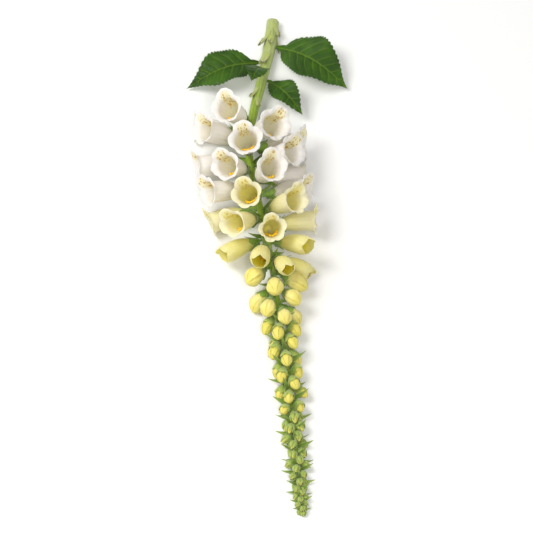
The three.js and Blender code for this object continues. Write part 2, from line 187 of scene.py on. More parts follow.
# Florets on a golden-angle spiral, turned about their feet until none touches another or sinks into the
# table: each is a row of balls that push each other away.
def plantFlorets():
    s = spike
    count = s["bells"] + s["openings"] + s["yellowBuds"] + s["tippedBuds"] + s["greenBuds"]
    place = np.arange(count)
    size = {key: np.interp(place, growth[:, 0], growth[:, k + 1]) for k, key in enumerate(growthKeys)}
    distance = s["firstAt"] + np.concatenate([[0], np.cumsum(size["pitch"])[:-1]])
    axisOfStem = stemFrame(distance)
    fullTurn = (s["firstTurn"] + s["goldenAngle"] * place + 180) % 360 - 180
    turn = np.radians(fullTurn * size["spread"] + s["turnChange"] * chance(place, 1))
    upright = np.maximum(0, np.cos(turn))
    lean = np.radians(size["lean"] * (1 - s["hug"] * upright) + s["leanChange"] * chance(place, 2))
    scale = 1 + s["sizeChange"] * chance(place, 3)
    length, radius = size["length"] * scale, size["radius"] * scale
    outward = heading(axisOfStem.up, axisOfStem.side, turn)
    foot = axisOfStem.middle + outward * (axisOfStem.radius + size["stalk"])[:, None]
    foot = foot + axisOfStem.ahead * size["stalk"][:, None] / 2
    natural = heading(axisOfStem.ahead, outward, lean)
    opened = place < s["bells"] + s["openings"]

    shares = np.array(s["settleShares"])
    reach = bell["start"] + shares * length[:, None]
    ball = girthOf(radius[:, None], opened[:, None], shares)
    ball[:, -1] *= 1 + s["flareGain"] * size["flare"]
    owner = np.repeat(place, len(shares))
    stranger = owner[:, None] != owner[None, :]
    apartAtTouch = ball.ravel()[:, None] + ball.ravel()[None, :] + s["settleGap"]
    axis = natural.copy()
    for step in range(s["settlePasses"]):
        centre = foot[:, None] + axis[:, None] * reach[..., None]
        sunk = ball - s["pressDepth"] - centre[..., 2]
        push = np.zeros_like(axis)
        push[:, 2] = (np.maximum(sunk, 0) / reach).sum(1)
        touches = (sunk > 0).sum(1)
        flat = centre.reshape(-1, 3)
        apart = flat[:, None] - flat[None, :]
        gap = np.linalg.norm(apart, axis=2)
        crossed = np.maximum(np.where(stranger, apartAtTouch - gap, 0), 0)
        share = crossed / 2 / reach.ravel()[:, None] / np.maximum(gap, 1e-9)
        push += (apart * share[..., None]).sum(1).reshape(count, -1, 3).sum(1)
        touches += (crossed > 0).sum(1).reshape(count, -1).sum(1)
        axis = axis + push / np.maximum(1, touches)[:, None]
        axis = unit(axis + (natural - axis) * s["settleHold"] * (1 - step / s["settlePasses"]))

    ahead = unit(axisOfStem.ahead - axis * (axisOfStem.ahead * axis).sum(1, keepdims=True))
    upper = heading(ahead, np.cross(axis, ahead), np.radians(s["twistChange"] * chance(place, 4)))
    left = np.cross(axis, upper)
    return [SimpleNamespace(place=i, opened=bool(opened[i]), foot=foot[i], axis=axis[i], upper=upper[i],
                            left=left[i], length=length[i], radius=radius[i], outward=outward[i],
                            sepal=size["sepal"][i], bract=size["bract"][i], flare=size["flare"][i],
                            stalk=size["stalk"][i], stemMiddle=axisOfStem.middle[i],
                            stemAhead=axisOfStem.ahead[i], stemRadius=axisOfStem.radius[i]) for i in place]


florets = plantFlorets()
openFrom = spike["bells"]
yellowFrom = openFrom + spike["openings"]
tippedFrom = yellowFrom + spike["yellowBuds"]
greenFrom = tippedFrom + spike["tippedBuds"]
print(f"spike: stem {stemLength:.0f} mm long, {len(florets)} florets")


# Meshes

# Every surface keeps two attributes at its points, which the materials read. "way" is where a point is: mm
# across, mm along, and 0 on the face or 1 on the back. "kind" is three numbers that each skin explains.


# A closed surface through rows of equally many points, with a point at each end.
def closeLoops(loops, way, kind, start=None, end=None, slot=0):
    rows, columns = loops.shape[:2]
    start = loops[0].mean(0) if start is None else start
    end = loops[-1].mean(0) if end is None else end
    points = np.vstack([start, loops.reshape(-1, 3), end])
    way, kind = (np.vstack([values[0].mean(0), values.reshape(-1, 3), values[-1].mean(0)])
                 for values in (way, kind))
    grid = 1 + np.arange(rows * columns).reshape(rows, columns)
    beside = np.roll(grid, -1, 1)
    quads = np.stack([grid[:-1], beside[:-1], beside[1:], grid[1:]], -1).reshape(-1, 4)
    first, last = np.zeros(columns, int), np.full(columns, len(points) - 1)
    fans = np.vstack([np.stack([first, beside[0], grid[0]], -1),
                      np.stack([last, grid[-1], beside[-1]], -1)])
    triangles = np.vstack([fans, quads[:, :3], quads[:, [0, 2, 3]]])
    a, b, c = (points[triangles[:, k]] - points.mean(0) for k in range(3))
    if (a * np.cross(b, c)).sum() < 0:  # faces point outwards
        quads, fans = quads[:, ::-1], fans[:, ::-1]
    return SimpleNamespace(points=points, quads=quads, fans=fans, way=way, kind=kind, slot=slot)


# A blade: a grid of points, and the same grid a wall's thickness behind it, joined at their edges.
def closeSheet(top, normal, wall, way, kind, slot=0):
    bottom = top - normal * np.asarray(wall)[..., None]
    back = way.copy()
    back[..., 2] = 1
    return closeLoops(np.concatenate([top, bottom[:, ::-1]], 1), np.concatenate([way, back[:, ::-1]], 1),
                      np.concatenate([kind, kind[:, ::-1]], 1), slot=slot)


# Three numbers or arrays as one array of rows of three.
def triple(*values):
    return np.stack(np.broadcast_arrays(*[np.asarray(value, float) for value in values]), -1)


# One object from many surfaces, in metres, that rides on the part and stands for its CAD nodes.
def addPiece(name, surfaces, materials, nodes):
    offsets = np.cumsum([0] + [len(s.points) for s in surfaces])
    quads = np.vstack([s.quads + o for s, o in zip(surfaces, offsets)])
    fans = np.vstack([s.fans + o for s, o in zip(surfaces, offsets)])
    points = np.vstack([s.points for s in surfaces]) * 0.001
    mesh = bpy.data.meshes.new(name)
    mesh.vertices.add(len(points))
    mesh.vertices.foreach_set("co", points.astype(np.float32).ravel())
    corners = np.concatenate([quads.ravel(), fans.ravel()])
    sizes = np.concatenate([np.full(len(quads), 4), np.full(len(fans), 3)])
    mesh.loops.add(len(corners))
    mesh.loops.foreach_set("vertex_index", corners.astype(np.int32))
    mesh.polygons.add(len(sizes))
    mesh.polygons.foreach_set("loop_start", (np.cumsum(sizes) - sizes).astype(np.int32))
    slots = np.concatenate([np.full(len(s.quads), s.slot) for s in surfaces] +
                           [np.full(len(s.fans), s.slot) for s in surfaces])
    mesh.polygons.foreach_set("material_index", slots.astype(np.int32))
    mesh.polygons.foreach_set("use_smooth", np.ones(len(sizes), bool))
    for key in ("way", "kind"):
        attribute = mesh.attributes.new(key, "FLOAT_VECTOR", "POINT")
        values = np.vstack([getattr(s, key) for s in surfaces])
        attribute.data.foreach_set("vector", values.astype(np.float32).ravel())
    mesh.update()
    mesh.validate()
    for material in materials:
        mesh.materials.append(material)
    piece = bpy.data.objects.new(name, mesh)
    bpy.context.scene.collection.objects.link(piece)
    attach(piece, "root")
    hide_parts(*nodes)
    return piece


# Materials

# The scale of a pattern on Object coordinates, which are in metres, from its real size in mm.
def scaleOf(size):
    return 1000 / size


# Adds a shader node. settings are its properties, its inputs by name or number, or a colour ramp's stops.
# links are inputs by name or number, each from another node's output. Gives the node's outputs. A mix of
# colours takes its share at 0 and the colours at 6 and 7, and gives them mixed at 2.
def addNode(tree, kind, settings={}, links={}):
    node = tree.nodes.new("ShaderNode" + kind)
    for key, value in settings.items():
        if key == "stops":
            for number, (at, code) in enumerate(value):
                elements = node.color_ramp.elements
                element = elements[number] if number < 2 else elements.new(at)
                element.position, element.color = at, hexColour(code)
        elif isinstance(key, str) and hasattr(node, key):
            setattr(node, key, value)
        else:
            node.inputs[key].default_value = hexColour(value) if isinstance(value, str) else value
    for key, output in links.items():
        tree.links.new(output, node.inputs[key])
    return node.outputs


# A new material with values on its shader's own sockets. Gives the material, its nodes and its shader.
def newMaterial(name, values):
    material = bpy.data.materials.new(name)
    material.use_nodes = True
    shader = material.node_tree.nodes["Principled BSDF"]
    for key, value in values.items():
        shader.inputs[key].default_value = value
    return material, material.node_tree, shader


# Foxglove petal: a skin of domed cells over air. From a step away that is matt with a faint silk, and light
# soaks through it. kind: where spots may be, and the share from the foot to the rim.
def petalSkin(name, foot, body, rim, throat, middle, mouth, patch=None, spot=None):
    material, tree, shader = newMaterial(name, {
        "Roughness": 0.5, "IOR": 1.4, "Subsurface Weight": 0.55, "Subsurface Radius": (1.0, 0.95, 0.6),
        "Subsurface Scale": 0.004, "Sheen Weight": 0.15, "Sheen Roughness": 0.4})
    way = addNode(tree, "Attribute", {"attribute_name": "way"})["Vector"]
    kind = addNode(tree, "Attribute", {"attribute_name": "kind"})["Vector"]
    inside = addNode(tree, "SeparateXYZ", links={0: way})["Z"]
    spotZone, share = addNode(tree, "SeparateXYZ", links={0: kind})[:2]
    place = addNode(tree, "TexCoord")["Object"]
    # Clouds 11 mm across blur where one tone passes into the next.
    cloud = addNode(tree, "TexNoise", {"Scale": scaleOf(11), "Detail": 3}, {"Vector": place})["Fac"]
    shade = addNode(tree, "Math", {"operation": "MULTIPLY_ADD", 1: 0.2}, {0: cloud, 2: share})[0]
    stops = ((0.12, foot), (0.45, body), (0.95, rim))
    outer = addNode(tree, "ValToRGB", {"stops": stops}, {0: shade})["Color"]
    stops = ((0.35, throat), (0.78, middle), (0.98, mouth))
    inner = addNode(tree, "ValToRGB", {"stops": stops}, {0: shade})["Color"]
    colour = addNode(tree, "Mix", {"data_type": "RGBA"}, {0: inside, 6: outer, 7: inner})[2]
    # Veins are 1 mm apart and run along the petal: noise drawn out ten times along it.
    drawnOut = addNode(tree, "Mapping", {"Scale": (1, 0.1, 1)}, {"Vector": way})[0]
    streaks = addNode(tree, "TexNoise", {"Scale": 1, "Detail": 3}, {"Vector": drawnOut})["Fac"]
    settings = {"From Min": 0.48, "From Max": 0.7, "To Max": 0.26}
    vein = addNode(tree, "MapRange", settings, {"Value": streaks})[0]
    settings = {"data_type": "RGBA", "blend_type": "MULTIPLY", 7: middle}
    colour = addNode(tree, "Mix", settings, {0: vein, 6: colour})[2]
    if spot:
        # The skin is yellower where spots are. They are 3 mm apart, 1 to 2 mm wide and drawn out along it.
        tint = addNode(tree, "Math", {"operation": "MULTIPLY", 1: 0.75}, {0: spotZone})[0]
        colour = addNode(tree, "Mix", {"data_type": "RGBA", 7: patch}, {0: tint, 6: colour})[2]
        drawnOut = addNode(tree, "Mapping", {"Scale": (1, 0.62, 1)}, {"Vector": way})[0]
        settings = {"voronoi_dimensions": "2D", "Scale": 1 / 3, "Randomness": 1.0}
        cells = addNode(tree, "TexVoronoi", settings, {"Vector": drawnOut})
        settings = {"From Min": 0.2, "From Max": 0.8, "To Min": 0.1, "To Max": 0.42}
        size = addNode(tree, "MapRange", settings, {"Value": cells["Color"]})[0]
        off = addNode(tree, "Math", {"operation": "DIVIDE"}, {0: cells["Distance"], 1: size})[0]
        settings = {"From Min": 1.2, "From Max": 0.75}
        dot = addNode(tree, "MapRange", settings, {"Value": off, "To Max": spotZone})[0]
        colour = addNode(tree, "Mix", {"data_type": "RGBA", 7: spot}, {0: dot, 6: colour})[2]
    tree.links.new(colour, shader.inputs["Base Color"])
    # Cells about 1 mm across, coarser than real ones so that they show.
    grain = addNode(tree, "TexNoise", {"Scale": scaleOf(1.1), "Detail": 3}, {"Vector": place})["Fac"]
    height = addNode(tree, "Math", {"operation": "MULTIPLY_ADD", 1: 0.5}, {0: grain, 2: streaks})[0]
    bump = addNode(tree, "Bump", {"Strength": 0.6, "Distance": 0.0003}, {"Height": height})
    tree.links.new(bump["Normal"], shader.inputs["Normal"])
    return material


# Folded petals of a closed bud: the same skin, deeper yellow and darkened by painted shade in its creases.
# kind: how deep in a crease, which sets that tint and painted shade, and the share from the foot to the tip.
def budSkin(name, foot, body, tip, creaseTintAndShade):
    material, tree, shader = newMaterial(name, {
        "Roughness": 0.48, "IOR": 1.4, "Subsurface Weight": 0.35, "Subsurface Radius": (1.0, 0.9, 0.4),
        "Subsurface Scale": 0.003, "Sheen Weight": 0.15, "Sheen Roughness": 0.4})
    way = addNode(tree, "Attribute", {"attribute_name": "way"})["Vector"]
    kind = addNode(tree, "Attribute", {"attribute_name": "kind"})["Vector"]
    fold, share = addNode(tree, "SeparateXYZ", links={0: kind})[:2]
    place = addNode(tree, "TexCoord")["Object"]
    cloud = addNode(tree, "TexNoise", {"Scale": scaleOf(7), "Detail": 3}, {"Vector": place})["Fac"]
    shade = addNode(tree, "Math", {"operation": "MULTIPLY_ADD", 1: 0.25}, {0: cloud, 2: share})[0]
    stops = ((0.2, foot), (0.6, body), (1.0, tip))
    colour = addNode(tree, "ValToRGB", {"stops": stops}, {0: shade})["Color"]
    # Painted shade: the crease colour darkens the folds. It stands in for the shade there as well as a deeper
    # yellow tint.
    colour = addNode(tree, "Mix", {"data_type": "RGBA", 7: creaseTintAndShade}, {0: fold, 6: colour})[2]
    # Fine veins 0.7 mm apart, drawn out ten times along the bud
    drawnOut = addNode(tree, "Mapping", {"Scale": (1 / 0.7, 0.1 / 0.7, 1)}, {"Vector": way})[0]
    streaks = addNode(tree, "TexNoise", {"Scale": 1, "Detail": 3}, {"Vector": drawnOut})["Fac"]
    settings = {"From Min": 0.48, "From Max": 0.7, "To Max": 0.4}
    vein = addNode(tree, "MapRange", settings, {"Value": streaks})[0]
    settings = {"data_type": "RGBA", "blend_type": "MULTIPLY", 7: body}
    colour = addNode(tree, "Mix", settings, {0: vein, 6: colour})[2]
    tree.links.new(colour, shader.inputs["Base Color"])
    grain = addNode(tree, "TexNoise", {"Scale": scaleOf(1), "Detail": 3}, {"Vector": place})["Fac"]
    height = addNode(tree, "Math", {"operation": "MULTIPLY_ADD", 1: 0.5}, {0: grain, 2: streaks})[0]
    bump = addNode(tree, "Bump", {"Strength": 0.6, "Distance": 0.0003}, {"Height": height})
    tree.links.new(bump["Normal"], shader.inputs["Normal"])
    return material


# Skin of stem, sepal or bract: wax under short down, so it has a soft broad shine and a bloom at its edges.
# kind: 0 in the middle to 1 at the edge, share from the foot to the tip, and a draw for each blade.
def downySkin(name, foot, body, tip, line, edge, fleck=0.0):
    material, tree, shader = newMaterial(name, {
        "Roughness": 0.56, "IOR": 1.42, "Subsurface Weight": 0.15, "Subsurface Radius": (0.6, 1.0, 0.2),
        "Subsurface Scale": 0.0015, "Sheen Weight": 0.3, "Sheen Roughness": 0.5})
    way = addNode(tree, "Attribute", {"attribute_name": "way"})["Vector"]
    kind = addNode(tree, "Attribute", {"attribute_name": "kind"})["Vector"]
    fromMiddle, share, draw = addNode(tree, "SeparateXYZ", links={0: kind})
    place = addNode(tree, "TexCoord")["Object"]
    cloud = addNode(tree, "TexNoise", {"Scale": scaleOf(5.5), "Detail": 4}, {"Vector": place})["Fac"]
    shade = addNode(tree, "Math", {"operation": "MULTIPLY_ADD", 1: 0.4}, {0: cloud, 2: share})[0]
    stops = ((0.15, foot), (0.6, body), (1.0, tip))
    colour = addNode(tree, "ValToRGB", {"stops": stops}, {0: shade})["Color"]
    # Lines 0.6 mm apart and about 10 mm long
    drawnOut = addNode(tree, "Mapping", {"Scale": (1 / 0.6, 0.1, 1)}, {"Vector": way})[0]
    streaks = addNode(tree, "TexNoise", {"Scale": 1, "Detail": 2}, {"Vector": drawnOut})["Fac"]
    settings = {"From Min": 0.45, "From Max": 0.65, "To Max": 0.45}
    amount = addNode(tree, "MapRange", settings, {"Value": streaks})[0]
    colour = addNode(tree, "Mix", {"data_type": "RGBA", 7: line}, {0: amount, 6: colour})[2]
    settings = {"From Min": 0.7, "From Max": 1.0, "To Max": 0.6}
    amount = addNode(tree, "MapRange", settings, {"Value": fromMiddle})[0]
    colour = addNode(tree, "Mix", {"data_type": "RGBA", 7: edge}, {0: amount, 6: colour})[2]
    amount = addNode(tree, "MapRange", {"From Min": -1.0, "To Max": 0.25}, {"Value": draw})[0]
    colour = addNode(tree, "Mix", {"data_type": "RGBA", 7: tip}, {0: amount, 6: colour})[2]
    if fleck:
        # Purple-brown flecks about 2 mm across
        dust = addNode(tree, "TexNoise", {"Scale": scaleOf(2.4), "Detail": 2}, {"Vector": place})["Fac"]
        settings = {"From Min": 0.6, "From Max": 0.72, "To Max": fleck}
        amount = addNode(tree, "MapRange", settings, {"Value": dust})[0]
        colour = addNode(tree, "Mix", {"data_type": "RGBA", 7: "#6f5a3a"}, {0: amount, 6: colour})[2]
    tree.links.new(colour, shader.inputs["Base Color"])
    grain = addNode(tree, "TexNoise", {"Scale": scaleOf(0.9), "Detail": 3}, {"Vector": place})["Fac"]
    height = addNode(tree, "Math", {"operation": "MULTIPLY_ADD", 1: 0.6}, {0: grain, 2: streaks})[0]
    bump = addNode(tree, "Bump", {"Strength": 0.6, "Distance": 0.00035}, {"Height": height})
    tree.links.new(bump["Normal"], shader.inputs["Normal"])
    return material


# Foxglove leaf: a blade puckered between its veins and woolly below. The face is a deep green with a dull
# shine and a paler net of veins, and the back is grey-green. kind: its second number is 1 on a vein.
def leafSkin(name):
    material, tree, shader = newMaterial(name, {
        "IOR": 1.45, "Specular IOR Level": 0.35, "Subsurface Weight": 0.06,
        "Subsurface Radius": (0.5, 1.0, 0.2), "Subsurface Scale": 0.0012})
    way = addNode(tree, "Attribute", {"attribute_name": "way"})["Vector"]
    kind = addNode(tree, "Attribute", {"attribute_name": "kind"})["Vector"]
    back = addNode(tree, "SeparateXYZ", links={0: way})["Z"]
    vein = addNode(tree, "SeparateXYZ", links={0: kind})["Y"]
    place = addNode(tree, "TexCoord")["Object"]
    # Clouds 22 mm across, from the deepest green to a fresher one
    cloud = addNode(tree, "TexNoise", {"Scale": scaleOf(22), "Detail": 5}, {"Vector": place})["Fac"]
    stops = ((0.32, "#1f4000"), (0.5, "#2b5000"), (0.7, "#3f6806"))
    face = addNode(tree, "ValToRGB", {"stops": stops}, {0: cloud})["Color"]
    # The finest net has meshes 2.4 mm across.
    settings = {"feature": "DISTANCE_TO_EDGE", "voronoi_dimensions": "2D", "Scale": 1 / 2.4}
    net = addNode(tree, "TexVoronoi", settings, {"Vector": way})["Distance"]
    netLine = addNode(tree, "MapRange", {"From Min": 0.14, "From Max": 0.02}, {"Value": net})[0]
    thin = addNode(tree, "Math", {"operation": "MULTIPLY", 1: 0.22}, {0: netLine})[0]
    face = addNode(tree, "Mix", {"data_type": "RGBA", 7: "#557c14"}, {0: thin, 6: face})[2]
    thick = addNode(tree, "Math", {"operation": "MULTIPLY", 1: 0.6}, {0: vein})[0]
    face = addNode(tree, "Mix", {"data_type": "RGBA", 7: "#76942c"}, {0: thick, 6: face})[2]
    under = addNode(tree, "Mix", {"data_type": "RGBA", 6: "#879a70", 7: "#b9c69c"}, {0: thick})[2]
    colour = addNode(tree, "Mix", {"data_type": "RGBA"}, {0: back, 6: face, 7: under})[2]
    tree.links.new(colour, shader.inputs["Base Color"])
    rough = addNode(tree, "MapRange", {"To Min": 0.46, "To Max": 0.75}, {"Value": back})[0]
    tree.links.new(rough, shader.inputs["Roughness"])
    lines = addNode(tree, "Math", {"operation": "MULTIPLY_ADD", 1: 0.7}, {0: netLine, 2: vein})[0]
    dip = addNode(tree, "Math", {"operation": "MULTIPLY", 1: -1.0}, {0: lines})[0]
    bump = addNode(tree, "Bump", {"Strength": 0.8, "Distance": 0.0005}, {"Height": dip})
    tree.links.new(bump["Normal"], shader.inputs["Normal"])
    return material


# A small soft part in two tones that noise mixes. patch is how wide a patch of one tone is, in mm.
def softSkin(name, first, second, patch, roughness, throughLight):
    material, tree, shader = newMaterial(name, {
        "Roughness": roughness, "Subsurface Weight": throughLight, "Subsurface Scale": 0.001})
    place = addNode(tree, "TexCoord")["Object"]
    noise = addNode(tree, "TexNoise", {"Scale": scaleOf(patch), "Detail": 3}, {"Vector": place})["Fac"]
    colour = addNode(tree, "ValToRGB", {"stops": ((0.4, first), (0.62, second))}, {0: noise})["Color"]
    tree.links.new(colour, shader.inputs["Base Color"])
    bump = addNode(tree, "Bump", {"Strength": 0.6, "Distance": 0.0002}, {"Height": noise})
    tree.links.new(bump["Normal"], shader.inputs["Normal"])
    return material


whitePetal = petalSkin("whiteCorolla", foot="#d7d8a3", body="#eae2d0", rim="#f0e9dd", throat="#efe8c4",
                       middle="#f1e9d8", mouth="#f1eadc", patch="#ecdb98", spot="#c09048")
creamPetal = petalSkin("creamCorolla", foot="#d1d480", body="#eade95", rim="#efe5b0", throat="#ebe080",
                       middle="#eee297", mouth="#efe5b4", patch="#e5d578", spot="#cfa545")
openingPetal = petalSkin("openingCorolla", foot="#cfd371", body="#eadc7d", rim="#efe28e", throat="#d9c21b",
                         middle="#e4d037", mouth="#ecde7e")
# Each crease colour is darker than its body: a deeper yellow tint plus painted shade in the folds.
yellowBudPetal = budSkin("yellowBudCorolla", foot="#cdd272", body="#eadf90", tip="#e5d975", creaseTintAndShade="#cdbd48")
tippedBudPetal = budSkin("tippedBudCorolla", foot="#b4b954", body="#dcd264", tip="#e2d568", creaseTintAndShade="#b3ae36")
greenBudPetal = budSkin("greenBudCorolla", foot="#93a54a", body="#b0b652", tip="#d6cf62", creaseTintAndShade="#98a23c")
calyxGreen = downySkin("downyCalyx", foot="#557a14", body="#66891f", tip="#829f3c", line="#86a142",
                       edge="#90a750")
budSepalGreen = downySkin("downyBudSepal", foot="#6f8a2c", body="#829a3c", tip="#a3b44e", line="#9dae58",
                          edge="#b3bf76")
bractGreen = downySkin("downyBract", foot="#6c8618", body="#67861f", tip="#8ba043", line="#86a03f",
                       edge="#a2b264")
stemGreen = downySkin("ridgedStem", foot="#aab273", body="#85a01a", tip="#8faa26", line="#a9bf4a",
                      edge="#85a01a", fleck=0.2)
tornLeafBase = downySkin("tornLeafBase", foot="#a3b052", body="#9fb04c", tip="#adb262", line="#bcc684",
                         edge="#b4ad70", fleck=0.12)
leafGreen = leafSkin("puckeredLeaf")
# Cut pith is dry and spongy, with no shine. Filaments are smooth and moist. Pollen is a powder, so anthers
# are matt. Hairs of down are clear and catch the light.
cutPith = softSkin("cutPith", "#cbc28c", "#ab8c5c", 1.4, 0.8, 0.1)
filamentSkin = softSkin("stamenFilament", "#f3f0dc", "#e9e6c6", 2.5, 0.4, 0.2)
pollenSkin = softSkin("pollenAnther", "#f7cd14", "#ebb31a", 1.1, 0.75, 0.1)
downSkin = softSkin("plantDown", "#eef3da", "#dfe9c4", 3.3, 0.6, 0.1)
print("materials: made")


# Bells

# The middle of a floret at mm along it from where its petals start. An open one bellies out below as a half
# sine.
def petalMiddle(floret, along):
    along = np.asarray(along, float)[..., None]
    sag = bell["belly"] * np.sin(math.pi * np.clip(along / floret.length, 0, 1)) if floret.opened else 0
    return floret.foot + floret.axis * (bell["start"] + along) - floret.upper * sag


# Reach of the rim in shares of the length: longer below, with a parabola for each lobe. The second value
# goes from 0 in a notch to 1 in a lobe's middle.
def lip(fromUpper):
    lower = (1 - np.cos(np.radians(fromUpper))) / 2
    lobes = np.array(bell["lobes"])
    rises = np.maximum(0, 1 - ((fromUpper[..., None] - lobes[:, 0]) / lobes[:, 1]) ** 2)
    return 1 + bell["lowerSideLonger"] * lower ** 2 + (rises * lobes[:, 2]).max(-1), rises.max(-1)


# A mean of sines round the corolla, with heights and starts drawn for each floret. draw: the first of them.
def ruffles(floret, angle, waves, draw):
    total = 0
    for k, wave in enumerate(waves):
        start = math.pi * chance(floret.place, draw + 10 + k)
        total = total + (0.6 + 0.4 * chance(floret.place, draw + k)) * np.sin(wave * angle + start)
    return total / len(waves)


# A bell is a profile that changes round its axis. The tube follows the girth and narrows a little to its
# mouth. The lip goes on from there along an arc, which bends out on an open bell and in on one that opens,
# and is longest and most bent in the middle of each lobe. The wall is measured square to the profile, and the
# surface goes up the outside, over the rim and down the inside.
def corolla(floret):
    b = bell
    angle = np.arange(b["columns"])[None] / b["columns"] * tau
    fromUpper = np.degrees(np.abs((angle + math.pi) % tau - math.pi))
    lower = (1 - np.cos(np.radians(fromUpper))) / 2
    rim, lobe = lip(fromUpper)
    reach = floret.length * (rim + b["ragged"] * ruffles(floret, angle, b["raggedWaves"], 20))
    above, below, closed = b["lipShares"]
    closing = min(1, max(0, -2 * floret.flare))
    notch = above + below * lower + closed * closing
    lipLength = reach - floret.length * (1 + b["lowerSideLonger"] * lower ** 2 - notch)
    turn = math.radians(np.interp(floret.flare, *np.transpose(b["lipTurns"])))
    turn = turn * (1 + 0.12 * chance(floret.place, 41)) * (b["notchTurn"] + (1 - b["notchTurn"]) * lobe)

    u = np.linspace(0, 1, b["tubeRows"])[:, None] ** 0.9
    v = np.linspace(0, 1, b["lipRows"] + 1)[1:, None]
    tube = u * (reach - lipLength)
    narrow = 1 - (1 - b["mouth"]) * (1 - 0.7 * closing) * smooth(u, 0.3, 0.95)
    tubeRadius = girthOf(floret.radius, True, tube / floret.length) * narrow
    tubeRadius = tubeRadius * (1 - b["furrow"] * (1 - lobe) ** 2 * u ** 3)
    fluting = np.sin(b["fluteCount"] * angle + 3 * floret.place) * np.sin(math.pi * u)
    tubeRadius = tubeRadius * (1 + b["flutes"] * fluting)
    tubeRadius = tubeRadius * (1 + b["oval"] * chance(floret.place, 42) * np.cos(2 * angle) * u ** 2)
    bend = np.vstack([0 * tube, turn * v])
    along = np.vstack([tube, tube[-1:] + lipLength * np.sin(turn * v) / turn])
    radius = np.vstack([tubeRadius, tubeRadius[-1:] + lipLength * (1 - np.cos(turn * v)) / turn])
    travelled = np.vstack([tube, tube[-1:] + lipLength * v])
    swing = b["ruffle"] * (1 if floret.flare > 0 else 0.4) * ruffles(floret, angle, b["ruffleWaves"], 30)
    swing = np.vstack([0 * tube, v ** 1.5 * swing])
    along, radius = along - np.sin(bend) * swing, radius + np.cos(bend) * swing
    wall = b["wall"] + (b["rimWall"] - b["wall"]) * smooth(travelled / reach, 0.5, 1)

    def behind(depth, past=0):  # the profile, so deep inside the wall and so far past the rim
        return (along + depth * np.sin(bend) + past * np.cos(bend),
                radius - depth * np.cos(bend) + past * np.sin(bend))

    keep = slice(None, 2, -1)
    profiles = [(along, radius), tuple(values[-1:] for values in behind(wall / 2, b["rimRound"])),
                tuple(values[keep] for values in behind(wall))]
    along, radius = (np.vstack([profile[k] for profile in profiles]) for k in range(2))
    isInner = np.vstack([0 * travelled, 0.5 + 0 * travelled[-1:], 1 + 0 * travelled[keep]])
    travelled = np.vstack([travelled, travelled[-1:], travelled[keep]])
    wall = np.vstack([wall, wall[-1:], wall[keep]])
    out = heading(floret.upper, floret.left, np.broadcast_to(angle, radius.shape))
    loops = petalMiddle(floret, along) + out * radius[..., None]
    loops[..., 2] = np.maximum(loops[..., 2], isInner * wall)

    fromLower = np.radians(np.where(angle < math.pi, 180 - fromUpper, fromUpper - 180)) * radius
    share = travelled / reach
    low, high = b["spotHalf"]
    spots = isInner * smooth(np.abs(fromLower), low, high)
    spots = spots * smooth(share, 0.35, 0.5) * smooth(share, 0.99, 0.9)
    way = triple(fromLower + 60 * chance(floret.place, 5), travelled, isInner)
    return closeLoops(loops, way, triple(spots, share, 0), petalMiddle(floret, 0),
                      petalMiddle(floret, 0.1 * floret.length))


# A round tube of changing radius along a path, on a frame that turns with the path.
def tubeAlong(path, radii, sides=8, slot=0, kind=(0, 0.5, 0)):
    ahead = unit(np.gradient(path, axis=0))
    first = unit(np.cross(ahead, unit(path[-1] - path[0] + np.array([0.31, 0.17, 0.53]))))
    angle = np.arange(sides) / sides * tau
    out = heading(first[:, None], np.cross(ahead, first)[:, None], angle)
    loops = path[:, None] + out * np.asarray(radii)[:, None, None]
    rows = np.linspace(0, 1, len(path))[:, None]
    way = triple(angle[None] * np.mean(radii), rows * 10, 0)
    return closeLoops(loops, way, triple(kind[0], kind[1] + 0 * rows * angle, kind[2]), slot=slot)


stamen = {
    "turns": (-0.6, -0.24, 0.24, 0.6), "reaches": (0.64, 0.76, 0.76, 0.64),  # radians; shares of the length
    "foot": 0.08, "shortWhileShut": 0.7,  # share of the length where they start, and of reach while shut
    "strand": 0.5, "sacLength": 3.4, "sacRadius": 1.05,  # mm
}


# Four stamens under the upper side: each filament bows out as a powered sine, and ends in two egg-shaped
# sacs of pollen.
def stamens(floret):
    s = stamen
    parts = []
    for turn, far in zip(s["turns"], s["reaches"]):
        t = np.linspace(0, 1, 10)
        reach = s["foot"] + (far * (1 if floret.flare > 0 else s["shortWhileShut"]) - s["foot"]) * t
        side = heading(floret.upper, floret.left, turn * (0.4 + 0.6 * t))
        out = girthOf(floret.radius, True, reach) * (0.1 + 0.6 * np.sin(1.9 * t) ** 0.8)
        path = petalMiddle(floret, reach * floret.length) + side * out[:, None]
        parts.append(tubeAlong(path, s["strand"] * (1.1 - 0.4 * t), 6, 1))
        ball = np.linspace(-1, 1, 9)
        across = unit(np.cross(side[-1], floret.axis))
        for way in (-1, 1):
            along = unit(floret.axis * 0.35 + across * way)
            sac = path[-1] + along * (s["sacLength"] / 2 * (0.9 + ball))[:, None] - side[-1] * 0.3
            sacRadii = s["sacRadius"] * np.sqrt(np.maximum(0.03, 1 - (ball * 0.98) ** 2))
            parts.append(tubeAlong(sac, sacRadii, 10, 2))
    return parts


def numbered(name, number):
    return f"{name}_{number:02d}"


for index, floret in enumerate(florets[:yellowFrom]):
    if index < spike["whiteBells"]:
        name, petal, slotName = numbered("bell", index + 1), whitePetal, "petal_white"
    elif index < openFrom:
        name, petal, slotName = numbered("bell", index + 1), creamPetal, "petal_cream"
    else:
        name, petal, slotName = numbered("opening_bell", index - openFrom + 1), openingPetal, "petal_cream"
    addPiece("corolla_" + name, [corolla(floret)] + stamens(floret), [petal, filamentSkin, pollenSkin],
             [name])
print(f"bells: {yellowFrom} corollas with stamens")


